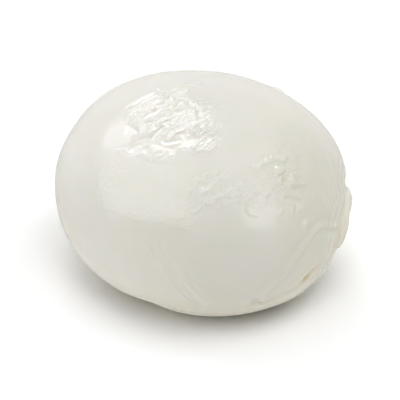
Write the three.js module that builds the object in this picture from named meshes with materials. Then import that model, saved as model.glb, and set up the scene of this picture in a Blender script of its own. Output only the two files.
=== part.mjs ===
// A ball of fresh mozzarella, lying on the spot that its own weight has pressed flat.
// Millimetres, +Z up. The origin is under the middle of the ball, on the surface that it lies on.
//
// The ball is one solid. Every point of its skin is found along a direction from the middle of the body:
// the radius of a slightly squared ellipsoid, plus the relief that lies in that direction. A place on the
// skin is written as [longitude, latitude] in degrees, with longitude 0 along +X and 90 along +Y.
import * as THREE from "three";
import { mergeVertices } from "three/addons/utils/BufferGeometryUtils.js";

// ---- the body ----
const LONG_HALF = 34.6; // half of the ball's longest width
const SHORT_HALF = 30.5; // half of the width across it
const LONG_AXIS_LONGITUDE = -35;
const HALF_HEIGHT = 25.6; // from the middle up to the crown
const FOOT_DEPTH = 21.75; // from the middle down to the foot, where the underside is pressed flat
const PLAN_SQUARENESS = 2.1; // 2 is an ellipse, and more is squarer
const TOP_SQUARENESS = 2.1;
const BOTTOM_SQUARENESS = 2.25; // the lower half bulges out under the weight

// Where the body is fuller or flatter than that: the spread is in degrees.
const SWELLS = [
  { at: [98, 49], spread: 14, height: -0.28 },
  { at: [145, 33], spread: 10, height: 0.2 },
  { at: [163, 18], spread: 10, height: -0.3 },
  { at: [-123, -42], spread: 10, height: -0.55 },
  { at: [-41, -30], spread: 10, height: 0.4 },
  { at: [-26, -20], spread: 9, height: -0.3 },
  { at: [-50, 33], spread: 13, height: 0.25 },
  { at: [60, 5], spread: 20, height: 0.5 },
  { at: [105, -15], spread: 16, height: -0.45 },
  { at: [130, 10], spread: 15, height: 0.35 },
];

// ---- the scar where the ball was pinched off the curd: a thick button of curd in a dimple ----
// Distances out from the middle of the button, and widths, are shares of its radius.
const SCAR = {
  at: [-11, -6],
  halfWidth: 7.4,
  halfHeight: 7.0,
  thickness: 1.85,
  roundness: 2.4, // of the button's section: 2 is a dome, and more has a flatter top
  rimWaves: [
    { count: 2, share: 0.05, start: 1.0 },
    { count: 5, share: 0.02, start: 0.4 },
  ],
  dimple: { depth: 1.6, spread: 17 }, // the spread is in degrees
  groove: { depth: 0.35, out: 1.2, width: 0.12 }, // where the skin is nipped in round the button
  navel: { depth: 1.1, width: 0.32 },
  spiral: { height: 0.14, arms: 3, twist: 9, out: 0.6, width: 0.25 }, // folds round the navel
  // wrinkles in the skin round the button, strongest on one side
  ripples: { height: 0.08, pitch: 0.3, out: 1.8, width: 0.5, strongest: 2.9, evenness: 0.6 },
};

// ---- folds in the skin ----
// Each runs along a curve through its places. Its section is three heights: on the left of the line, on it
// and on its right, one shoulder away. The width is the half-width of each of the three.
const SHOULDER = 1.7; // widths from the line to the middle of a shoulder
const FOLD_STEPS = 20; // straight pieces along each fold
const FADE_IN = 0.2; // shares of a fold's length
const FADE_OUT = 0.12;
const FOLDS = [
  // the long crease down the right of the front, from beside the scar to the foot
  {
    path: [[-24, -3], [-34, 3], [-41, 6], [-46, 4], [-52, -1], [-57, -7], [-63, -14], [-67, -20]],
    width: 0.8,
    section: [-0.12, 0.22, -0.13],
  },
  // its knotted lower end
  { path: [[-68, -19], [-67, -23], [-63, -26]], width: 0.9, section: [0.16, -0.32, 0.16] },
  // the trough that holds the pit
  { path: [[-37, -12], [-43, -14], [-50, -19], [-56, -22]], width: 1.1, section: [0.08, -0.24, 0.12] },
  // the soft crease down the middle of the front, and the ridge beside it
  {
    path: [[-110, 7], [-106, -1], [-101, -9], [-95, -18], [-88, -29]],
    width: 1.0,
    section: [0.05, -0.16, 0.1],
  },
  { path: [[-101, -1], [-98, -7], [-93, -13]], width: 0.9, section: [-0.05, 0.1, 0] },
  // the far side
  { path: [[4, -13], [28, -19], [50, -17], [72, -24]], width: 1.0, section: [-0.22, 0.36, -0.2] },
  { path: [[6, 9], [24, 20], [45, 24], [62, 20]], width: 1.2, section: [0.14, -0.3, 0.2] },
  { path: [[92, -2], [104, -9], [121, -12], [138, -22]], width: 1.1, section: [0.16, -0.34, 0.12] },
];

// ---- lumps and pits ----
// Half-length and half-width in millimetres, with the length turned that many degrees up from due east.
const LUMPS = [
  // the knobbly part of the front, high on the right
  { at: [-51, 32], length: 1.4, width: 0.9, turn: 150, height: 0.55 },
  { at: [-47, 28], length: 1.1, width: 0.8, turn: 40, height: 0.5 },
  { at: [-55, 38], length: 1.9, width: 1.1, turn: 160, height: -0.32 },
  { at: [-48, 16], length: 0.9, width: 1.3, turn: 0, height: 0.4 },
  { at: [-48, 10], length: 1.0, width: 0.8, turn: 60, height: 0.4 },
  // the pit
  { at: [-45.8, -15.6], length: 1.0, width: 0.75, turn: 42, height: -0.7 },
  // the crown's right-hand shoulder
  { at: [35, 43], length: 1.6, width: 1.2, turn: 0, height: 0.45 },
  // the scar's lower lobe
  { at: [-20, -17.5], length: 2.0, width: 1.4, turn: 120, height: 0.6 },
  // the far side
  { at: [80, 8], length: 3.0, width: 1.6, turn: 30, height: 0.35 },
  { at: [52, -4], length: 1.6, width: 1.2, turn: 110, height: -0.4 },
  { at: [116, 4], length: 2.2, width: 1.3, turn: 155, height: 0.3 },
];

// ---- how fine the facets are ----
const STARTING_SPLITS = 5; // of each edge of the icosahedron that the facets come from
const LONGEST_EDGE = 3.4;
const SHORTEST_SPLIT = 1.2; // an edge shorter than this is never halved
const FLATNESS = 0.06; // how far the skin may stray from a facet's edge
const TESTS_ALONG_EDGE = [0.25, 0.5, 0.75];

// A point at that place on the unit sphere.
function directionAt([longitude, latitude]) {
  const turn = THREE.MathUtils.degToRad(longitude);
  const rise = THREE.MathUtils.degToRad(latitude);
  return new THREE.Vector3(
    Math.cos(rise) * Math.cos(turn),
    Math.cos(rise) * Math.sin(turn),
    Math.sin(rise),
  );
}

// A place with its own east and north, to measure round it in millimetres.
function localFrame(place) {
  const middle = directionAt(place);
  const east = new THREE.Vector3(0, 0, 1).cross(middle).normalize();
  const north = middle.clone().cross(east);
  return { middle, east, north };
}

function bell(x) {
  return Math.exp(-x * x);
}

const LONG_AXIS = directionAt([LONG_AXIS_LONGITUDE, 0]);
const SHORT_AXIS = directionAt([LONG_AXIS_LONGITUDE + 90, 0]);

// Length of the sides a and b together: 2 gives Pythagoras, and more gives a squarer corner.
function squarish(a, b, squareness) {
  return (Math.abs(a) ** squareness + Math.abs(b) ** squareness) ** (1 / squareness);
}

function ellipsoidRadius(direction) {
  const along = direction.dot(LONG_AXIS) / LONG_HALF;
  const across = direction.dot(SHORT_AXIS) / SHORT_HALF;
  const plan = squarish(along, across, PLAN_SQUARENESS);
  const squareness = direction.z > 0 ? TOP_SQUARENESS : BOTTOM_SQUARENESS;
  return 1 / squarish(plan, direction.z / HALF_HEIGHT, squareness);
}

const swells = SWELLS.map((swell) => ({ ...swell, middle: directionAt(swell.at) }));

function swellHeight(direction) {
  let height = 0;
  for (const { middle, spread, height: peak } of swells) {
    height += peak * bell(THREE.MathUtils.radToDeg(direction.angleTo(middle)) / spread);
  }
  return height;
}

const scar = localFrame(SCAR.at);

// The dimple, the button with its uneven rim and its navel, and the folds round them.
function scarRelief(direction, radius) {
  const { dimple, groove, navel, spiral, ripples } = SCAR;
  const away = THREE.MathUtils.radToDeg(direction.angleTo(scar.middle));
  const hollow = -dimple.depth * bell(away / dimple.spread);
  if (direction.dot(scar.middle) <= 0) return hollow;

  const x = (direction.dot(scar.east) * radius) / SCAR.halfWidth;
  const y = (direction.dot(scar.north) * radius) / SCAR.halfHeight;
  const round = Math.atan2(y, x);
  let rim = 1;
  for (const { count, share, start } of SCAR.rimWaves) rim += share * Math.sin(count * round + start);
  const out = Math.hypot(x, y) / rim;
  const button = SCAR.thickness * Math.sqrt(Math.max(0, 1 - out ** SCAR.roundness));
  const nip = -groove.depth * bell((out - groove.out) / groove.width);
  const pit = -navel.depth * bell(out / navel.width);
  const arms = spiral.height * Math.sin(spiral.arms * round + spiral.twist * out);
  const unevenness = THREE.MathUtils.lerp(Math.cos(round - ripples.strongest), 1, ripples.evenness);
  const rings = ripples.height * unevenness * Math.sin((2 * Math.PI * out) / ripples.pitch);
  return (
    hollow +
    button +
    nip +
    pit +
    arms * bell((out - spiral.out) / spiral.width) +
    rings * bell((out - ripples.out) / ripples.width)
  );
}

// The straight pieces of a fold's curve, each with its left-hand side as seen from outside.
function foldPieces(path) {
  const curve = new THREE.CatmullRomCurve3(path.map(directionAt));
  const points = curve.getSpacedPoints(FOLD_STEPS).map((point) => point.normalize());
  return points.slice(1).map((end, i) => {
    const start = points[i];
    const run = end.clone().sub(start);
    return { start, run, left: start.clone().cross(run).normalize() };
  });
}

const folds = FOLDS.map((fold) => ({ ...fold, pieces: foldPieces(fold.path) }));

// The height of one fold in a direction. It fades over the first and the last part of its length.
function foldRelief(fold, direction, radius) {
  const offset = new THREE.Vector3();
  let nearest = Infinity;
  let side = 0;
  let share = 0;
  fold.pieces.forEach(({ start, run, left }, i) => {
    offset.copy(direction).sub(start);
    const part = THREE.MathUtils.clamp(offset.dot(run) / run.lengthSq(), 0, 1);
    offset.addScaledVector(run, -part);
    const distance = offset.length();
    if (distance < nearest) {
      nearest = distance;
      side = Math.sign(offset.dot(left));
      share = (i + part) / FOLD_STEPS;
    }
  });
  const across = (nearest * radius) / fold.width;
  const [leftHeight, middleHeight, rightHeight] = fold.section;
  const section =
    leftHeight * bell(side * across - SHOULDER) +
    middleHeight * bell(across) +
    rightHeight * bell(side * across + SHOULDER);
  const fadeIn = THREE.MathUtils.smoothstep(share, 0, FADE_IN);
  const fadeOut = THREE.MathUtils.smoothstep(1 - share, 0, FADE_OUT);
  return section * fadeIn * fadeOut;
}

const lumps = LUMPS.map((lump) => ({ ...lump, ...localFrame(lump.at) }));

function lumpRelief(lump, direction, radius) {
  if (direction.dot(lump.middle) <= 0) return 0;
  const turn = THREE.MathUtils.degToRad(lump.turn);
  const x = direction.dot(lump.east) * radius;
  const y = direction.dot(lump.north) * radius;
  const along = (x * Math.cos(turn) + y * Math.sin(turn)) / lump.length;
  const across = (y * Math.cos(turn) - x * Math.sin(turn)) / lump.width;
  return lump.height * bell(Math.hypot(along, across));
}

// The point of the skin in a direction: nothing reaches below the foot.
function skinPoint(direction) {
  const radius = ellipsoidRadius(direction) + swellHeight(direction);
  let relief = scarRelief(direction, radius);
  for (const fold of folds) relief += foldRelief(fold, direction, radius);
  for (const lump of lumps) relief += lumpRelief(lump, direction, radius);
  const toFoot = direction.z < 0 ? FOOT_DEPTH / -direction.z : Infinity;
  return direction.clone().multiplyScalar(Math.min(radius + relief, toFoot));
}

// Whether the skin strays too far from the straight line between two of its points.
function strays(start, end) {
  return TESTS_ALONG_EDGE.some((share) => {
    const straight = start.clone().lerp(end, share);
    return skinPoint(straight.clone().normalize()).distanceTo(straight) > FLATNESS;
  });
}

// One entry for each pair of corners, whichever comes first.
class EdgeTable extends Map {
  static key(a, b) {
    return a < b ? `${a} ${b}` : `${b} ${a}`;
  }
  find(a, b) {
    return this.get(EdgeTable.key(a, b));
  }
  note(a, b, value) {
    this.set(EdgeTable.key(a, b), value);
    return value;
  }
}

// Halves the edges that are too long, each triangle's longest edge first, until all are short enough.
function refine(directions, triangles) {
  const points = directions.map(skinPoint);
  const lengths = new EdgeTable();
  const tooLong = new EdgeTable();
  const middleOf = (a, b) => directions[a].clone().add(directions[b]).normalize();
  const lengthOf = (a, b) => lengths.find(a, b) ?? lengths.note(a, b, points[a].distanceTo(points[b]));
  const mustHalve = (a, b) =>
    lengthOf(a, b) > LONGEST_EDGE || (lengthOf(a, b) > SHORTEST_SPLIT && strays(points[a], points[b]));
  const isTooLong = (a, b) => tooLong.find(a, b) ?? tooLong.note(a, b, mustHalve(a, b));

  // The triangle with its longest edge as its first two corners.
  const longestFirst = ([a, b, c]) => {
    const ab = lengthOf(a, b);
    const bc = lengthOf(b, c);
    const ca = lengthOf(c, a);
    if (ab >= bc && ab >= ca) return [a, b, c];
    return bc >= ca ? [b, c, a] : [c, a, b];
  };

  for (;;) {
    triangles = triangles.map(longestFirst);
    const halved = new EdgeTable();
    for (const [a, b, c] of triangles) {
      for (const [from, to] of [[a, b], [b, c], [c, a]]) {
        if (isTooLong(from, to)) halved.note(from, to, true);
      }
    }
    if (halved.size === 0) return { points, triangles };
    let before;
    do {
      before = halved.size;
      for (const [a, b, c] of triangles) {
        if (halved.find(b, c) || halved.find(c, a)) halved.note(a, b, true);
      }
    } while (halved.size > before);

    const middles = new EdgeTable();
    const middleIndex = (a, b) => {
      if (!halved.find(a, b)) return undefined;
      const known = middles.find(a, b);
      if (known !== undefined) return known;
      directions.push(middleOf(a, b));
      points.push(skinPoint(directions.at(-1)));
      return middles.note(a, b, points.length - 1);
    };
    triangles = triangles.flatMap(([a, b, c]) => {
      const ab = middleIndex(a, b);
      if (ab === undefined) return [[a, b, c]];
      const bc = middleIndex(b, c);
      const ca = middleIndex(c, a);
      const first = ca === undefined ? [[a, ab, c]] : [[a, ab, ca], [ab, c, ca]];
      const second = bc === undefined ? [[ab, b, c]] : [[ab, b, bc], [ab, bc, c]];
      return [...first, ...second];
    });
  }
}

function ballGeometry() {
  const start = new THREE.IcosahedronGeometry(1, STARTING_SPLITS);
  start.deleteAttribute("normal");
  start.deleteAttribute("uv");
  const sphere = mergeVertices(start);
  const corners = sphere.getAttribute("position");
  const directions = [];
  for (let i = 0; i < corners.count; i += 1) {
    directions.push(new THREE.Vector3().fromBufferAttribute(corners, i).normalize());
  }
  const triangles = [];
  for (let i = 0; i < sphere.index.count; i += 3) {
    triangles.push([sphere.index.getX(i), sphere.index.getX(i + 1), sphere.index.getX(i + 2)]);
  }
  const refined = refine(directions, triangles);
  const geometry = new THREE.BufferGeometry().setFromPoints(refined.points);
  geometry.setIndex(refined.triangles.flat());
  geometry.computeBoundingBox();
  const middle = geometry.boundingBox.getCenter(new THREE.Vector3());
  geometry.translate(-middle.x, -middle.y, FOOT_DEPTH);
  geometry.computeVertexNormals();
  return geometry;
}

const curd = new THREE.MeshStandardMaterial({ color: 0xece9e1, roughness: 0.2, metalness: 0 });
const ball = new THREE.Mesh(ballGeometry(), curd);
ball.name = "mozzarella_ball";

const group = new THREE.Group();
group.add(ball);

export default group;
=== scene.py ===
"""The looks of a ball of fresh mozzarella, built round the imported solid.

The skin is worked out again from the solid's own named sizes, far more finely. It also gets the thin
crumpled film and one swell below the scar, which the solid leaves out. A place on the skin is its longitude
and latitude in degrees round the middle of the body, with longitude 0 along +X and 90 along +Y. Sizes of the
ball are in millimetres, and the scene is in metres.
"""
import math

import bmesh
import bpy
import numpy as np
from mathutils import Matrix, Vector


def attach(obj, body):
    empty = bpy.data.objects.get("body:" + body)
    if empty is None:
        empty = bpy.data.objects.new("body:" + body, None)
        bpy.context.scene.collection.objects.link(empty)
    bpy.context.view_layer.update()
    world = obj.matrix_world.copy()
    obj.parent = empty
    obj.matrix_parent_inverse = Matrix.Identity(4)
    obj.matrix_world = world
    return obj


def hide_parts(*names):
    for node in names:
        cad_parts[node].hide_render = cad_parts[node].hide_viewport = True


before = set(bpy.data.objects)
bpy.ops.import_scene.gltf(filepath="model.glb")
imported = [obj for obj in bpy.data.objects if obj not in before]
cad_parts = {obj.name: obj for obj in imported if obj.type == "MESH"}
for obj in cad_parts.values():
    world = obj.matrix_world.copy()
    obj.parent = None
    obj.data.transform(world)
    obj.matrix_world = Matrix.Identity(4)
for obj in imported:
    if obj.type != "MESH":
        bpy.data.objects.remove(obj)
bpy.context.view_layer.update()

MM = 0.001
NODE = "mozzarella_ball"

# ---- the body: the solid's own sizes, and the swell below the scar ----
LONG_HALF = 34.6
SHORT_HALF = 30.5
LONG_AXIS_LONGITUDE = -35
HALF_HEIGHT = 25.6
FOOT_DEPTH = 21.75
PLAN_SQUARENESS = 2.1
TOP_SQUARENESS = 2.1
BOTTOM_SQUARENESS = 2.25
SWELLS = [  # place, spread in degrees, height
    ((98, 49), 14, -0.28),
    ((145, 33), 10, 0.2),
    ((163, 18), 10, -0.3),
    ((-123, -42), 10, -0.55),
    ((-41, -30), 10, 0.4),
    ((-26, -20), 9, -0.3),
    ((-50, 33), 13, 0.25),
    ((60, 5), 20, 0.5),
    ((105, -15), 16, -0.45),
    ((130, 10), 15, 0.35),
]
SWELL_BELOW_SCAR = ((-20, -28), 8, 0.95)

# ---- the scar: a button of curd in a dimple. Shares are of the button's radius ----
SCAR_AT = (-11, -6)
SCAR_HALF_SIZE = (7.4, 7.0)
SCAR_THICKNESS = 1.85
SCAR_ROUNDNESS = 2.4
SCAR_RIM_WAVES = [(2, 0.05, 1.0), (5, 0.02, 0.4)]
SCAR_DIMPLE = (1.6, 17)  # depth, spread in degrees
SCAR_GROOVE = (0.35, 1.2, 0.12)  # depth, distance out, width
SCAR_NAVEL = (1.1, 0.32)  # depth, width
SCAR_SPIRAL = (0.14, 3, 9, 0.6, 0.25)  # height, arms, twist, distance out, width
SCAR_RIPPLES = (0.08, 0.3, 1.8, 0.5)  # height, pitch, distance out, width
SCAR_RIPPLES_STRONGEST = 2.9
SCAR_RIPPLES_EVENNESS = 0.6

# ---- folds: the places they run through, half-width, and heights left of the line, on it and right ----
SHOULDER = 1.7
FOLD_STEPS = 20
FADE_IN = 0.2
FADE_OUT = 0.12
FOLDS = [
    ([(-24, -3), (-34, 3), (-41, 6), (-46, 4), (-52, -1), (-57, -7), (-63, -14), (-67, -20)], 0.8,
     (-0.12, 0.22, -0.13)),
    ([(-68, -19), (-67, -23), (-63, -26)], 0.9, (0.16, -0.32, 0.16)),
    ([(-37, -12), (-43, -14), (-50, -19), (-56, -22)], 1.1, (0.08, -0.24, 0.12)),
    ([(-110, 7), (-106, -1), (-101, -9), (-95, -18), (-88, -29)], 1.0, (0.05, -0.16, 0.1)),
    ([(-101, -1), (-98, -7), (-93, -13)], 0.9, (-0.05, 0.1, 0)),
    ([(4, -13), (28, -19), (50, -17), (72, -24)], 1.0, (-0.22, 0.36, -0.2)),
    ([(6, 9), (24, 20), (45, 24), (62, 20)], 1.2, (0.14, -0.3, 0.2)),
    ([(92, -2), (104, -9), (121, -12), (138, -22)], 1.1, (0.16, -0.34, 0.12)),
]

# ---- lumps and pits: place, half-length, half-width, turn in degrees up from due east, height ----
LUMPS = [
    ((-51, 32), 1.4, 0.9, 150, 0.55),
    ((-47, 28), 1.1, 0.8, 40, 0.5),
    ((-55, 38), 1.9, 1.1, 160, -0.32),
    ((-48, 16), 0.9, 1.3, 0, 0.4),
    ((-48, 10), 1.0, 0.8, 60, 0.4),
    ((-45.8, -15.6), 1.0, 0.75, 42, -0.7),
    ((35, 43), 1.6, 1.2, 0, 0.45),
    ((-20, -17.5), 2.0, 1.4, 120, 0.6),
    ((80, 8), 3.0, 1.6, 30, 0.35),
    ((52, -4), 1.6, 1.2, 110, -0.4),
    ((116, 4), 2.2, 1.3, 155, 0.3),
]

# ---- the film: thin folds that only show close up, given like the folds ----
FILM_FOLDS = [
    ([(176.2, 67.6), (179.4, 63.8), (-175.5, 59.9), (-170.8, 55.7)], 0.5, (0.08, -0.26, 0.08)),
    ([(163.3, 66.2), (175.2, 70), (-171.8, 71.9), (-161.2, 70.6), (-152.9, 66.6), (-150.4, 62.1),
      (-151.2, 58.5)], 0.55, (0.1, -0.32, 0.08)),
    ([(-130.8, 70.2), (-136.9, 66.9), (-139, 62.5), (-139, 57.9), (-143.8, 54)], 0.55, (0.08, -0.32, 0.1)),
    ([(-122.2, 64), (-126.3, 60.8), (-128.4, 56.6), (-130.2, 51.7), (-131.2, 47.9)], 0.55,
     (0.08, -0.28, 0.08)),
    ([(-121.2, 50), (-116.2, 49.7), (-111.4, 50.7), (-106.2, 52.9)], 0.4, (0, -0.17, 0.08)),
    ([(-96.6, 69.9), (-93.5, 64.3), (-92, 58.6), (-92, 52.9)], 0.5, (0.03, -0.13, 0.05)),
    ([(-141.5, 77.8), (-115.7, 76.1), (-99.8, 72.1), (-91.5, 67)], 0.6, (0.05, -0.2, 0.06)),
    ([(-139.4, 41.3), (-141.8, 43.8), (-141.8, 46.5), (-138.7, 49.2), (-135, 51.6)], 0.9,
     (0.04, 0.15, -0.15)),
    ([(-91.5, 29.8), (-88.3, 29.6), (-85.9, 31), (-81.7, 33.8)], 0.3, (0, 0.19, 0)),
    ([(-91.5, 28.6), (-88.7, 29.4), (-85.9, 30.5)], 0.25, (0, 0.14, 0)),
    ([(-65.6, 23.9), (-68.6, 24.4), (-71, 22.1), (-70.3, 19.2), (-66.6, 17.6)], 0.4, (0, 0.08, -0.07)),
    ([(-88.8, 23.4), (-84.8, 26.1), (-79.7, 27.8), (-75.2, 30.2)], 0.5, (0.02, 0.2, -0.1)),
    ([(-64.9, 34.8), (-58.1, 36.9), (-49.6, 37.4), (-42.5, 35.5)], 0.7, (0.04, 0.3, -0.2)),
    ([(-50.8, 25.5), (-45.4, 25.0), (-42.3, 22.3)], 0.6, (0.04, 0.26, -0.16)),
    ([(-55.8, 21.4), (-51.2, 20.5), (-47.0, 17.6)], 0.5, (0.05, -0.18, 0.08)),
    ([(-139.5, 40.7), (-133.8, 43.2), (-125.4, 44.4)], 1.3, (0, -0.32, 0)),
    ([(-112.0, 7.7), (-110.4, 2.7), (-106.9, -4.0), (-100.9, -12.6), (-89.6, -30.0)], 0.45,
     (0.06, -0.13, 0.09)),
    ([(-108.6, 11.0), (-106.1, 4.5), (-102.2, -2.0), (-95.3, -10.3), (-85.9, -21.3)], 0.5,
     (0.04, -0.1, 0.07)),
]

# ---- grain: places where the film is finely creased in one direction ----
GRAINS = [  # place, half-length, half-width, turn; length and width of a crease; height
    ((-153, 63), 10, 7, -78, 5, 1.3, 0.17),
    ((-112, 64), 8, 6.5, 50, 1.6, 0.9, 0.14),
    ((-88, 25), 19, 4, 8, 2.2, 1.1, 0.15),
    ((-50, 26), 9, 8, 60, 2.5, 1.1, 0.2),
    ((-160, -2), 16, 7, 80, 8, 1.4, 0.07),
    ((-28, 17), 13, 8, 68, 8, 1.1, 0.2),
]

# ---- colour: the curd, then places that differ from it, as shares of its red, green and blue. Some are the curd's own marks, and some are painted light and shade ----
CURD_COLOUR = (0.723, 0.706, 0.661)
TINTS_AND_PAINTED_SHADING = [  # place, half-length, half-width, turn; shares
    (SCAR_AT, 8.0, 7.6, 0, (1.0, 0.98, 0.945)),
    ((-45.8, -15.6), 1.0, 0.7, 42, (0.78, 0.6, 0.28)),
    ((-45, -14.6), 2.4, 1.5, 42, (0.97, 0.94, 0.84)),
    ((-67, -23), 1.5, 1.2, 0, (0.93, 0.88, 0.81)),
    ((-60, -22), 1.6, 1.1, 20, (0.9, 0.9, 0.83)),
    # partly the curd's own yellow-grey tone on the right side, partly painted shade: that side made darker
    ((-40, 16), 14, 11, 60, (0.92, 0.912, 0.865)),
    ((-100.0, 14.0), 2.4, 1.6, 140, (0.985, 0.96, 0.94)),
    # painted light: the lower right side made lighter
    ((-22, -12), 12, 9, 0, (1.055, 1.055, 1.03)),
    # painted light: the lower left side made lighter and less yellow
    ((-150, -25), 16, 11, 0, (1.035, 1.045, 1.085)),
    # painted light: the lower front made lighter
    ((-92, -36), 18, 6, 0, (1.03, 1.035, 1.04)),
    ((-112, 3), 14, 6, 0, (1.0, 1.0, 0.98)),
    # painted light: the left side made lighter
    ((-171, 19), 12, 9, 0, (1.035, 1.035, 1.035)),
    # painted shade: the upper right side made darker
    ((-22, 33), 9, 8, 0, (0.965, 0.965, 0.955)),
]
# Painted shade: the underside made darker and warmer towards the very bottom, so the contact shadow and the
# bottom rim come out warm and dark.
UNDERSIDE_PAINTED_SHADE = [(50, (1.0, 0.95, 0.75)), (30, (0.93, 0.85, 0.62))]  # spread in degrees, shares

# ---- mottle: places where the finest bumps differ in strength, which is 1 on the plain skin ----
MOTTLES = [  # place, half-length, half-width, turn; what it adds to the strength
    ((-105, 62), 10, 6.5, 20, 22.0),
    ((-149, 45), 4.5, 3.0, 20, -0.9),
    ((-103, 53), 3.0, 2.0, 8, -15.0),
]

# ---- crumple: places where the film is creased into small flat flakes, or is smooth among them ----
CRUMPLES = [  # place, half-length, half-width, turn; strength, below 0 where it smooths
    ((-131, 65), 12.5, 7.5, 20, 1.0),
    ((-90, 53), 5.0, 4.0, 0, 0.9),
    ((-120, 43), 6.0, 2.0, 0, 0.5),
    ((-149, 44), 4.2, 3.0, 20, -1.1),
    ((-147, 62), 4.0, 0.9, 90, -1.2),
    ((-103, 53), 3.0, 2.0, 8, -1.1),
    ((-127, 52.5), 2.6, 0.7, 82, -1.0),
    ((-179, 60.5), 4.4, 0.9, 119, -1.0),
    ((140, 82), 4.0, 2.0, 0, 0.5),
    ((-112, 17), 14.0, 2.2, 0, 0.25),
    ((-138, 27), 4.5, 8.0, 0, 0.45),
    ((-84, 30), 7.0, 5.0, 0, 0.6),
    ((95, 45), 11.0, 7.0, 30, 0.8),
    ((38, 30), 7.0, 9.0, 60, 0.5),
    ((152, 12), 9.0, 6.0, 0, 0.6),
    ((75, -14), 12.0, 4.0, 10, 0.4),
    ((-61.9, 30.0), 8.0, 4.5, 35, 0.45),
    ((-47.0, 33.3), 6.0, 4.0, 50, 0.45),
    ((-41, 31), 8.0, 5.0, 30, 0.22),
    ((-34, 48), 7.0, 4.0, 25, 0.25),
]

# ---- how finely the skin is worked out: the longest edge allowed on each kind of place ----
UNDERSIDE_EDGE = 1.3
UNDERSIDE_LATITUDE = -48
PLAIN_EDGE = 1.2
FINE_EDGE = 0.34
FINE_ROUND_SCAR = 2.4  # of the button's radius
FINE_ROUND_FOLD = 3  # half-widths
FINE_ROUND_LUMP = 2.2  # half-sizes
FOLD_MARGIN = 0.2  # radians round a fold's places within which its distance is worked out


def directions_at(places):
    turn, rise = np.radians(np.asarray(places, float)).T
    return np.stack([np.cos(rise) * np.cos(turn), np.cos(rise) * np.sin(turn), np.sin(rise)], axis=-1)


def local_frame(place):
    middle = directions_at(place)
    east = np.cross((0, 0, 1), middle)
    east /= np.linalg.norm(east)
    return middle, east, np.cross(middle, east)


def bell(x):
    return np.exp(-x * x)


def smoothstep(x, low, high):
    t = np.clip((x - low) / (high - low), 0, 1)
    return t * t * (3 - 2 * t)


def squarish(a, b, squareness):
    return (np.abs(a) ** squareness + np.abs(b) ** squareness) ** (1 / squareness)


def normalized(vectors):
    return vectors / np.linalg.norm(vectors, axis=-1, keepdims=True)


class Noise:
    """Smooth random bumps, from about -1 to 1, with one cell to a unit of length."""

    TABLE = 256

    def __init__(self, seed):
        rng = np.random.default_rng(seed)
        self.order = rng.permutation(self.TABLE)
        self.slopes = normalized(rng.normal(size=(self.TABLE, 3)))

    def __call__(self, points):
        cell = np.floor(points).astype(int)
        inside = points - cell
        ease = inside ** 3 * (inside * (inside * 6 - 15) + 10)
        total = np.zeros(len(points))
        for corner in np.ndindex(2, 2, 2):
            at = (cell + corner) % self.TABLE
            pick = self.order[at[:, 0]]
            pick = self.order[(pick + at[:, 1]) % self.TABLE]
            pick = self.order[(pick + at[:, 2]) % self.TABLE]
            weight = np.prod(np.where(corner, ease, 1 - ease), axis=1)
            total += weight * np.einsum("ij,ij->i", inside - corner, self.slopes[pick])
        return total * 1.6


def ellipsoid_radius(d):
    axes = directions_at([(LONG_AXIS_LONGITUDE, 0), (LONG_AXIS_LONGITUDE + 90, 0)])
    plan = squarish(d @ axes[0] / LONG_HALF, d @ axes[1] / SHORT_HALF, PLAN_SQUARENESS)
    squareness = np.where(d[:, 2] > 0, TOP_SQUARENESS, BOTTOM_SQUARENESS)
    return 1 / squarish(plan, d[:, 2] / HALF_HEIGHT, squareness)


def degrees_from(d, place):
    return np.degrees(np.arccos(np.clip(d @ directions_at(place), -1, 1)))


def swell_height(d):
    swells = [*SWELLS, SWELL_BELOW_SCAR]
    return sum(height * bell(degrees_from(d, place) / spread) for place, spread, height in swells)


def scar_coordinates(d, radius):
    """Distance out from the middle of the scar's button, in its radii, and the angle round it."""
    middle, east, north = local_frame(SCAR_AT)
    x = d @ east * radius / SCAR_HALF_SIZE[0]
    y = d @ north * radius / SCAR_HALF_SIZE[1]
    turn = np.arctan2(y, x)
    rim = 1 + sum(share * np.sin(count * turn + start) for count, share, start in SCAR_RIM_WAVES)
    return np.where(d @ middle > 0, np.hypot(x, y) / rim, 99.0), turn


def scar_relief(d, radius):
    out, turn = scar_coordinates(d, radius)
    depth, spread = SCAR_DIMPLE
    relief = -depth * bell(degrees_from(d, SCAR_AT) / spread)
    relief += SCAR_THICKNESS * np.sqrt(np.maximum(0, 1 - np.minimum(out, 1) ** SCAR_ROUNDNESS))
    depth, at, width = SCAR_GROOVE
    relief -= depth * bell((out - at) / width)
    depth, width = SCAR_NAVEL
    relief -= depth * bell(out / width)
    height, arms, twist, at, width = SCAR_SPIRAL
    relief += height * np.sin(arms * turn + twist * out) * bell((out - at) / width)
    height, pitch, at, width = SCAR_RIPPLES
    uneven = np.cos(turn - SCAR_RIPPLES_STRONGEST)
    uneven += (1 - uneven) * SCAR_RIPPLES_EVENNESS
    relief += height * uneven * np.sin(2 * np.pi * out / pitch) * bell((out - at) / width)
    return relief


def catmull_rom(points, steps):
    """Points along a smooth curve through the given ones."""
    ends = [2 * points[0] - points[1], *points, 2 * points[-1] - points[-2]]
    curve = []
    for a, b, c, e in zip(ends, ends[1:], ends[2:], ends[3:]):
        for t in np.arange(steps) / steps:
            curve.append(0.5 * (2 * b + (c - a) * t + (2 * a - 5 * b + 4 * c - e) * t ** 2
                                + (3 * b - a - 3 * c + e) * t ** 3))
    return normalized(np.array([*curve, points[-1]]))


def spaced(curve, count):
    """That many equal pieces of the curve, as their count + 1 ends."""
    lengths = np.concatenate([[0], np.cumsum(np.linalg.norm(np.diff(curve, axis=0), axis=1))])
    wanted = np.linspace(0, lengths[-1], count + 1)
    return normalized(np.stack([np.interp(wanted, lengths, curve[:, k]) for k in range(3)], axis=1))


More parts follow.
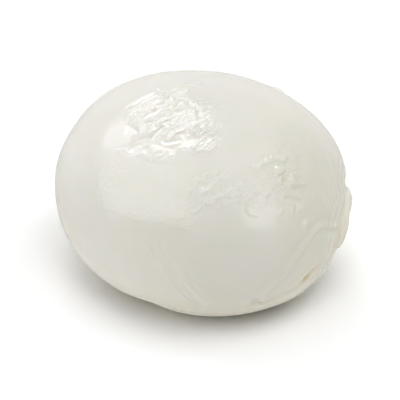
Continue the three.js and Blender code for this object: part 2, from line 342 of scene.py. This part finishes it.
def along_path(d, path):
    """Distance from the path on the unit sphere, positive left of it, and the share of its length."""
    points = spaced(catmull_rom(directions_at(path), FOLD_STEPS), FOLD_STEPS)
    nearest = np.full(len(d), np.inf)
    side = np.zeros(len(d))
    share = np.zeros(len(d))
    for i, (start, end) in enumerate(zip(points, points[1:])):
        run = end - start
        offset = d - start
        part = np.clip(offset @ run / (run @ run), 0, 1)
        offset = offset - part[:, None] * run
        distance = np.linalg.norm(offset, axis=1)
        closer = distance < nearest
        nearest[closer] = distance[closer]
        side[closer] = np.sign(offset @ np.cross(start, run))[closer]
        share[closer] = (i + part[closer]) / FOLD_STEPS
    return side * nearest, share


FOLD_REACH = 5  # half-widths from a fold's line to where it no longer counts
FOLD_NOISE = Noise(20)
FOLD_WANDERS = 14  # to a radian
FILM_UNEVENNESS = 0.7


def near_path(d, path, reach):
    """Which directions are within that many radians of the round patch that holds the path's places."""
    points = directions_at(path)
    middle = normalized(points.mean(axis=0))
    spread = np.arccos(np.clip(points @ middle, -1, 1)).max()
    return d @ middle > np.cos(min(np.pi, spread + reach))


def fold_relief(fold, d, radius, unevenness=0.0):
    """A fold's heights. An uneven one wanders by up to that many half-widths, and its width varies."""
    path, width, (left, middle, right) = fold
    relief = np.zeros(len(d))
    near = near_path(d, path, FOLD_REACH * width / SHORT_HALF * 1.5)
    signed, share = along_path(d[near], path)
    across = signed * radius[near] / width
    if unevenness:
        across += unevenness * FOLD_NOISE(d[near] * FOLD_WANDERS)
        across /= 1 + unevenness * 0.6 * FOLD_NOISE(d[near] * FOLD_WANDERS * 0.6 + 5)
    section = left * bell(across - SHOULDER) + middle * bell(across) + right * bell(across + SHOULDER)
    relief[near] = section * smoothstep(share, 0, FADE_IN) * smoothstep(1 - share, 0, FADE_OUT)
    return relief


def patch_coordinates(patch, d, radius):
    """Along and across an oval place on the skin, in its own half-sizes."""
    place, length, width, turn = patch
    middle, east, north = local_frame(place)
    x = d @ east * radius
    y = d @ north * radius
    turn = math.radians(turn)
    along = (x * math.cos(turn) + y * math.sin(turn)) / length
    across = (y * math.cos(turn) - x * math.sin(turn)) / width
    return np.where(d @ middle > 0, along, 99.0), across


def patch_distance(patch, d, radius):
    return np.hypot(*patch_coordinates(patch, d, radius))


def lump_relief(lump, d, radius):
    return lump[-1] * bell(patch_distance(lump[:-1], d, radius))


def grain_relief(grain, number, d, radius):
    """Creases in one direction, on a patch that fades out at its edge."""
    *patch, crease_length, crease_width, height = grain
    relief = np.zeros(len(d))
    along, across = patch_coordinates(patch, d, radius)
    near = np.hypot(along, across) < 1.6
    along, across = along[near] * patch[1] / crease_length, across[near] * patch[2] / crease_width
    noise = Noise(number)
    bend = 0.8 * noise(np.stack([along * 0.7, across * 0.3, across * 0 + 7], axis=1))
    creases = np.abs(noise(np.stack([along, across + bend, across * 0], axis=1)))
    creases += 0.5 * np.abs(noise(np.stack([along * 2.3, (across - bend) * 2.1, across * 0 + 3], axis=1)))
    edge = np.hypot(along * crease_length / patch[1], across * crease_width / patch[2]) - 0.3 * bend
    relief[near] = height * creases * (1 - smoothstep(edge, 0.6, 1.1))
    return relief


def skin_points(d):
    radius = ellipsoid_radius(d) + swell_height(d)
    relief = scar_relief(d, radius)
    relief += sum(fold_relief(fold, d, radius) for fold in FOLDS)
    relief += sum(fold_relief(fold, d, radius, FILM_UNEVENNESS) for fold in FILM_FOLDS)
    relief += sum(lump_relief(lump, d, radius) for lump in LUMPS)
    relief += sum(grain_relief(grain, number, d, radius) for number, grain in enumerate(GRAINS))
    down = np.minimum(d[:, 2], -1e-6)
    to_foot = np.where(d[:, 2] < 0, FOOT_DEPTH / -down, np.inf)
    return d * np.minimum(radius + relief, to_foot)[:, None]


def wanted_edge(d):
    """The longest edge that may stay, by direction."""
    radius = ellipsoid_radius(d)
    wanted = np.where(d[:, 2] < math.sin(math.radians(UNDERSIDE_LATITUDE)), UNDERSIDE_EDGE, PLAIN_EDGE)
    folded = scar_coordinates(d, radius)[0] < FINE_ROUND_SCAR
    for path, width, _ in FOLDS + FILM_FOLDS:
        near = near_path(d, path, FOLD_MARGIN)
        distance = np.abs(along_path(d[near], path)[0]) * radius[near]
        folded[near] |= distance < FINE_ROUND_FOLD * width
    for lump in LUMPS:
        folded |= patch_distance(lump[:-1], d, radius) < FINE_ROUND_LUMP
    for grain in GRAINS:
        folded |= patch_distance(grain[:4], d, radius) < 1
    wanted[folded] = FINE_EDGE
    return wanted


def refine(d, triangles):
    """Halves the edges that are too long, each triangle's longest first, until all are short enough."""
    while True:
        points = d * (ellipsoid_radius(d) + swell_height(d))[:, None]
        corners = np.stack([triangles, np.roll(triangles, -1, axis=1)], axis=2)
        ends, edge = np.unique(np.sort(corners.reshape(-1, 2), axis=1), axis=0, return_inverse=True)
        edge = edge.reshape(-1, 3)
        length = np.linalg.norm(points[ends[:, 0]] - points[ends[:, 1]], axis=1)
        longest = np.argmax(length[edge], axis=1)[:, None]
        order = (longest + np.arange(3)) % 3
        triangles = np.take_along_axis(triangles, order, axis=1)
        edge = np.take_along_axis(edge, order, axis=1)
        middles = normalized(d[ends[:, 0]] + d[ends[:, 1]])
        halved = length > FINE_EDGE
        halved[halved] = length[halved] > wanted_edge(middles[halved])
        if not halved.any():
            return d, triangles
        while True:
            drawn_in = edge[:, 0][(halved[edge[:, 1]] | halved[edge[:, 2]]) & ~halved[edge[:, 0]]]
            if len(drawn_in) == 0:
                break
            halved[drawn_in] = True
        index = np.full(len(ends), -1)
        index[halved] = len(d) + np.arange(halved.sum())
        d = np.concatenate([d, middles[halved]])
        (a, b, c), (ab, bc, ca) = triangles.T, index[edge].T
        split = ab >= 0
        first = split & (ca >= 0)
        second = split & (bc >= 0)
        triangles = np.concatenate([
            np.stack([a, b, c], axis=1)[~split],
            np.stack([a, ab, ca], axis=1)[first],
            np.stack([ab, c, ca], axis=1)[first],
            np.stack([a, ab, c], axis=1)[split & ~first],
            np.stack([ab, b, bc], axis=1)[second],
            np.stack([ab, bc, c], axis=1)[second],
            np.stack([ab, b, c], axis=1)[split & ~second],
        ])


def curd_colours_and_painted_shading(d, radius):
    colours = np.tile([*CURD_COLOUR, 1.0], (len(d), 1))
    # Some of these places are painted light and shade: sides made lighter or darker than the lamps make
    # them.
    for *patch, shares in TINTS_AND_PAINTED_SHADING:
        amount = bell(patch_distance(patch, d, radius))[:, None]
        colours[:, :3] *= 1 + (np.array(shares) - 1) * amount
    # Painted shade: the underside made darker and warmer towards the very bottom.
    for spread, shares in UNDERSIDE_PAINTED_SHADE:
        amount = bell(degrees_from(d, (0, -90)) / spread)[:, None]
        colours[:, :3] *= 1 + (np.array(shares) - 1) * amount
    return colours


def mottle_strengths(d, radius):
    return 1 + sum(strength * bell(patch_distance(patch, d, radius) ** 2) for *patch, strength in MOTTLES)


def crumple_strengths(d, radius):
    return np.maximum(0, sum(strength * (1 - smoothstep(patch_distance(patch, d, radius), 0.6, 1.2))
                             for *patch, strength in CRUMPLES))


def make_ball():
    start = bpy.data.meshes.new("start")
    bm = bmesh.new()
    bmesh.ops.create_icosphere(bm, subdivisions=5, radius=1)
    bm.to_mesh(start)
    bm.free()
    d = np.zeros(len(start.vertices) * 3)
    start.vertices.foreach_get("co", d)
    triangles = np.zeros(len(start.polygons) * 3, int)
    start.polygons.foreach_get("vertices", triangles)
    d, triangles = refine(normalized(d.reshape(-1, 3)), triangles.reshape(-1, 3))
    points = skin_points(d)
    low, high = points.min(axis=0), points.max(axis=0)
    points -= (*(low + high)[:2] / 2, -FOOT_DEPTH)
    mesh = bpy.data.meshes.new("mozzarella_skin")
    mesh.from_pydata(points * MM, [], triangles)
    mesh.shade_smooth()
    radius = ellipsoid_radius(d)
    colours = mesh.attributes.new("curd_colour_and_painted_shading", "FLOAT_COLOR", "POINT")
    colours.data.foreach_set("color", curd_colours_and_painted_shading(d, radius).ravel())
    mottle = mesh.attributes.new("mottle", "FLOAT", "POINT")
    mottle.data.foreach_set("value", mottle_strengths(d, radius))
    crumple = mesh.attributes.new("crumple", "FLOAT", "POINT")
    crumple.data.foreach_set("value", crumple_strengths(d, radius))
    ball = bpy.data.objects.new("mozzarella_skin", mesh)
    bpy.context.scene.collection.objects.link(ball)
    return ball


BUMP_HEIGHT = 0.005 * MM
BUMPS_PER_METRE = 1500
PUCKER_HEIGHT = 0.05 * MM
PUCKERS_PER_METRE = 330
FLAKE_HEIGHT = 0.33 * MM
FLAKES_PER_METRE = 600
FLAKE_LENGTH = 2.2  # widths
FLAKE_TURN = (0, math.radians(-26), math.radians(25))
BLOTCHES_PER_METRE = 110
BLOTCH_SHARES = (0.97, 0.985, 0.955)


def make_material():
    material = bpy.data.materials.new("curd")
    material.use_nodes = True
    nodes, links = material.node_tree.nodes, material.node_tree.links
    shader = nodes["Principled BSDF"]
    shader.inputs["IOR"].default_value = 1.4
    shader.inputs["Subsurface Weight"].default_value = 0.7
    shader.inputs["Subsurface Radius"].default_value = (1.0, 0.8, 0.6)
    shader.inputs["Subsurface Scale"].default_value = 3.5 * MM

    where = nodes.new("ShaderNodeTexCoord").outputs["Object"]
    # The curd's colour, with its own marks and with painted light and shade in it.
    colour = nodes.new("ShaderNodeAttribute")
    colour.attribute_name = "curd_colour_and_painted_shading"
    blotches = nodes.new("ShaderNodeTexNoise")
    blotches.inputs["Scale"].default_value = BLOTCHES_PER_METRE
    blotches.inputs["Detail"].default_value = 4
    links.new(where, blotches.inputs["Vector"])
    blotch = nodes.new("ShaderNodeMapRange")
    blotch.inputs["From Min"].default_value = 0.35
    blotch.inputs["From Max"].default_value = 0.7
    links.new(blotches.outputs["Fac"], blotch.inputs["Value"])
    tinted = nodes.new("ShaderNodeMix")
    tinted.data_type = "RGBA"
    tinted.blend_type = "MULTIPLY"
    links.new(blotch.outputs["Result"], tinted.inputs["Factor"])
    links.new(colour.outputs["Color"], tinted.inputs["A"])
    tinted.inputs["B"].default_value = (*BLOTCH_SHARES, 1)
    links.new(tinted.outputs["Result"], shader.inputs["Base Color"])

    wetness = nodes.new("ShaderNodeMapRange")
    wetness.inputs["From Min"].default_value = 0.3
    wetness.inputs["From Max"].default_value = 0.7
    wetness.inputs["To Min"].default_value = 0.02
    wetness.inputs["To Max"].default_value = 0.07
    links.new(blotches.outputs["Fac"], wetness.inputs["Value"])
    links.new(wetness.outputs["Result"], shader.inputs["Roughness"])

    bumps = nodes.new("ShaderNodeTexNoise")
    bumps.inputs["Scale"].default_value = BUMPS_PER_METRE
    bumps.inputs["Detail"].default_value = 2
    links.new(where, bumps.inputs["Vector"])
    mottle = nodes.new("ShaderNodeAttribute")
    mottle.attribute_name = "mottle"
    height = nodes.new("ShaderNodeMath")
    height.operation = "MULTIPLY"
    links.new(bumps.outputs["Fac"], height.inputs[0])
    links.new(mottle.outputs["Fac"], height.inputs[1])
    bump = nodes.new("ShaderNodeBump")
    bump.inputs["Distance"].default_value = BUMP_HEIGHT
    links.new(height.outputs["Value"], bump.inputs["Height"])
    puckers = nodes.new("ShaderNodeTexNoise")
    puckers.inputs["Scale"].default_value = PUCKERS_PER_METRE
    puckers.inputs["Detail"].default_value = 2
    puckers.inputs["Distortion"].default_value = 0.6
    links.new(where, puckers.inputs["Vector"])
    pucker = nodes.new("ShaderNodeBump")
    pucker.inputs["Distance"].default_value = PUCKER_HEIGHT
    links.new(puckers.outputs["Fac"], pucker.inputs["Height"])
    links.new(pucker.outputs["Normal"], bump.inputs["Normal"])
    stretch = nodes.new("ShaderNodeMapping")
    stretch.vector_type = "TEXTURE"
    stretch.inputs["Rotation"].default_value = FLAKE_TURN
    stretch.inputs["Scale"].default_value = (FLAKE_LENGTH, 1, 1)
    links.new(where, stretch.inputs["Vector"])
    bend = nodes.new("ShaderNodeTexNoise")
    bend.inputs["Scale"].default_value = FLAKES_PER_METRE * 0.7
    bend.inputs["Detail"].default_value = 1
    links.new(where, bend.inputs["Vector"])
    bent = nodes.new("ShaderNodeVectorMath")
    bent.operation = "MULTIPLY_ADD"
    bent.inputs[1].default_value = (2 * MM, 2 * MM, 2 * MM)
    links.new(bend.outputs["Color"], bent.inputs[0])
    links.new(stretch.outputs["Vector"], bent.inputs[2])
    flakes = nodes.new("ShaderNodeTexVoronoi")
    flakes.inputs["Scale"].default_value = FLAKES_PER_METRE
    flakes.inputs["Detail"].default_value = 2
    flakes.inputs["Roughness"].default_value = 0.6
    links.new(bent.outputs["Vector"], flakes.inputs["Vector"])
    crumple = nodes.new("ShaderNodeAttribute")
    crumple.attribute_name = "crumple"
    flake_height = nodes.new("ShaderNodeMath")
    flake_height.operation = "MULTIPLY"
    links.new(flakes.outputs["Distance"], flake_height.inputs[0])
    links.new(crumple.outputs["Fac"], flake_height.inputs[1])
    flake = nodes.new("ShaderNodeBump")
    flake.inputs["Distance"].default_value = FLAKE_HEIGHT
    links.new(flake_height.outputs["Value"], flake.inputs["Height"])
    links.new(bump.outputs["Normal"], flake.inputs["Normal"])
    links.new(flake.outputs["Normal"], shader.inputs["Normal"])
    return material


def make_floor():
    bpy.ops.mesh.primitive_plane_add(size=4)
    floor = bpy.context.object
    floor.name = "floor"
    material = bpy.data.materials.new("floor")
    material.use_nodes = True
    shader = material.node_tree.nodes["Principled BSDF"]
    shader.inputs["Base Color"].default_value = (0.95, 0.95, 0.95, 1)
    shader.inputs["Roughness"].default_value = 0.9
    shader.inputs["Specular IOR Level"].default_value = 0.0
    floor.data.materials.append(material)
    floor.visible_glossy = False


# ---- camera ----
CAMERA_ELEVATION = math.radians(30)
CAMERA_DISTANCE = 0.6
IMAGE_SIZE = 400
PIXEL = 0.2283 * MM
BALL_MIDDLE_PIXEL = (203.05, 190.16)


def make_camera():
    back = Vector((0, -math.cos(CAMERA_ELEVATION), math.sin(CAMERA_ELEVATION)))
    up = Vector((0, math.sin(CAMERA_ELEVATION), math.cos(CAMERA_ELEVATION)))
    right = Vector((1, 0, 0))
    offset = right * (IMAGE_SIZE / 2 - BALL_MIDDLE_PIXEL[0]) - up * (IMAGE_SIZE / 2 - BALL_MIDDLE_PIXEL[1])
    aim = Vector((0, 0, FOOT_DEPTH * MM)) + offset * PIXEL
    data = bpy.data.cameras.new("camera")
    data.sensor_width = 36
    data.lens = data.sensor_width * CAMERA_DISTANCE / (IMAGE_SIZE * PIXEL)
    camera = bpy.data.objects.new("camera", data)
    camera.location = aim + back * CAMERA_DISTANCE
    camera.rotation_euler = back.to_track_quat("Z", "Y").to_euler()
    bpy.context.scene.collection.objects.link(camera)
    bpy.context.scene.camera = camera


# ---- light ----
# Some panels shine on the curd and don't show in its gloss, and the others only show in the gloss.
# A panel's place is its middle, two directions along it, and its half-sizes.
SOFTBOXES = [  # name, place, radiance
    ("key", (-0.20, 0.33, 0.92), (-0.76, -0.65, 0.02), (0.20, -0.21, 0.96), 0.327, 0.676, 1.2),
    ("left_front", (-0.765, -0.435, 0.475), (0.64, -0.607, 0.471), (0.126, 0.688, 0.715), 0.515, 0.45, 0.4),
    ("right_front", (0.529, -0.711, 0.463), (0.835, 0.498, -0.236), (-0.058, 0.506, 0.861),
     0.25, 0.426, 0.15),
]
# Fills that face the ball and shine: azimuth from behind the ball and elevation in degrees, half-sizes
# and radiance.
FILL_DISTANCE = 1.1
FILLS = [
    ("top_front", 168, 70, 0.5, 0.4, 0.6),
    ("top_front_core", 168, 66, 0.28, 0.22, 3.4),
    ("top", 0, 88, 0.4, 0.4, 1.6),
    ("behind", 0, 3.5, 0.6, 0.06, 15.5),
    ("left", -92, 4.5, 0.5, 0.08, 7.0),
    ("right_high", 92, 54, 0.35, 0.3, 2.4),
    ("front_high", 180, 46, 0.4, 0.25, 1.35),
    ("right_low", 102, 3, 0.4, 0.1, 2.4),
    ("front_low", 145, 3, 0.4, 0.08, 1.1),
]


def make_panel(name, middle, along, up, half_length, half_height, radiance, shines):
    """A light that either shines on the curd or shows in its gloss."""
    data = bpy.data.lights.new(name, "AREA")
    data.shape = "RECTANGLE"
    data.size, data.size_y = 2 * half_length, 2 * half_height
    data.energy = radiance * math.pi * data.size * data.size_y
    along, middle = Vector(along).normalized(), Vector(middle)
    back = along.cross(Vector(up)).normalized()
    if back.dot(middle) < 0:
        along, back = -along, -back
    panel = bpy.data.objects.new(name, data)
    turned = Matrix((along, back.cross(along), back)).transposed().to_4x4()
    panel.matrix_world = Matrix.Translation(middle) @ turned
    panel.visible_glossy = not shines
    panel.visible_diffuse = shines
    bpy.context.scene.collection.objects.link(panel)


# The left softbox's reflection, which reaches on up behind the key's.
LEFT_REFLECTION = (
    (-0.784, -0.285, 0.561), (0.64, -0.607, 0.471), (0.126, 0.688, 0.715), 0.623, 0.689)
LEFT_STRIPS = 7
LEFT_RADIANCES = (2.9, 1.1)  # of the lowest strip and the highest
# The key's reflection, which stops short of the key's lower end, its bright middle, and the right softbox's
# reflection.
KEY_REFLECTION = ((-0.193, 0.323, 0.953), (-0.76, -0.65, 0.02), (0.20, -0.21, 0.96), 0.327, 0.642)
KEY_RADIANCE = 2.7
KEY_CORE = ((-0.191, 0.337, 0.907), (-0.76, -0.65, 0.02), (0.20, -0.21, 0.96), 0.26, 0.43)
CORE_RADIANCE = 4.7
RIGHT_REFLECTION = (
    (0.517, -0.7, 0.495), (0.835, 0.498, -0.236), (-0.058, 0.506, 0.861), 0.238, 0.392)
RIGHT_RADIANCE = 2.7
# Shares of the distance and the size, so that each reflected panel hangs clear of the one behind it.
LEFT_SHARE = 0.97
REFLECTION_SHARE = 0.93
CORE_SHARE = 0.9
# What the gloss shows of the room and, low down, of the floor.
ROOM_IN_GLOSS = (0.78, 0.775, 0.76)
FLOOR_IN_GLOSS = (0.62, 0.59, 0.52)
FLOOR_FADE = (-0.7, -0.1)  # heights, as shares, between which the one turns into the other


def nearer(place, share):
    middle, along, up, half_length, half_height = place
    return Vector(middle) * share, along, up, half_length * share, half_height * share


def make_lights():
    for name, *place, light in SOFTBOXES:
        make_panel(name, *place, light, True)
    middle, along, up, half_length, half_height = nearer(LEFT_REFLECTION, LEFT_SHARE)
    half_strip = half_height / LEFT_STRIPS
    for i, radiance in enumerate(np.linspace(*LEFT_RADIANCES, LEFT_STRIPS)):
        strip_middle = middle + Vector(up) * (half_strip * (2 * i + 1) - half_height)
        make_panel(f"left_strip_{i}", strip_middle, along, up, half_length, half_strip, radiance, False)
    make_panel("key_reflection", *nearer(KEY_REFLECTION, REFLECTION_SHARE), KEY_RADIANCE, False)
    make_panel("right_reflection", *nearer(RIGHT_REFLECTION, REFLECTION_SHARE), RIGHT_RADIANCE, False)
    make_panel("key_core", *nearer(KEY_CORE, CORE_SHARE), CORE_RADIANCE, False)
    for name, azimuth, elevation, *half_sizes, light in FILLS:
        azimuth, elevation = math.radians(azimuth), math.radians(elevation)
        out = Vector((math.sin(azimuth) * math.cos(elevation), math.cos(azimuth) * math.cos(elevation),
                      math.sin(elevation)))
        along = Vector((0, 0, 1)).cross(out)
        make_panel(name, out * FILL_DISTANCE, along, out.cross(along), *half_sizes, light, True)
    world = bpy.data.worlds.new("world")
    bpy.context.scene.world = world
    world.use_nodes = True
    nodes, links = world.node_tree.nodes, world.node_tree.links
    height = nodes.new("ShaderNodeSeparateXYZ")
    links.new(nodes.new("ShaderNodeTexCoord").outputs["Generated"], height.inputs["Vector"])
    share = nodes.new("ShaderNodeMapRange")
    share.inputs["From Min"].default_value, share.inputs["From Max"].default_value = FLOOR_FADE
    links.new(height.outputs["Z"], share.inputs["Value"])
    mix = nodes.new("ShaderNodeMix")
    mix.data_type = "RGBA"
    mix.inputs["A"].default_value = (*FLOOR_IN_GLOSS, 1)
    mix.inputs["B"].default_value = (*ROOM_IN_GLOSS, 1)
    links.new(share.outputs["Result"], mix.inputs["Factor"])
    links.new(mix.outputs["Result"], nodes["Background"].inputs["Color"])
    world.cycles_visibility.diffuse = False
    world.cycles.sampling_method = "NONE"
    bpy.context.scene.view_settings.view_transform = "Standard"


ball = make_ball()
ball.data.materials.append(make_material())
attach(ball, "root")
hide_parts(NODE)
make_floor()
make_camera()
make_lights()
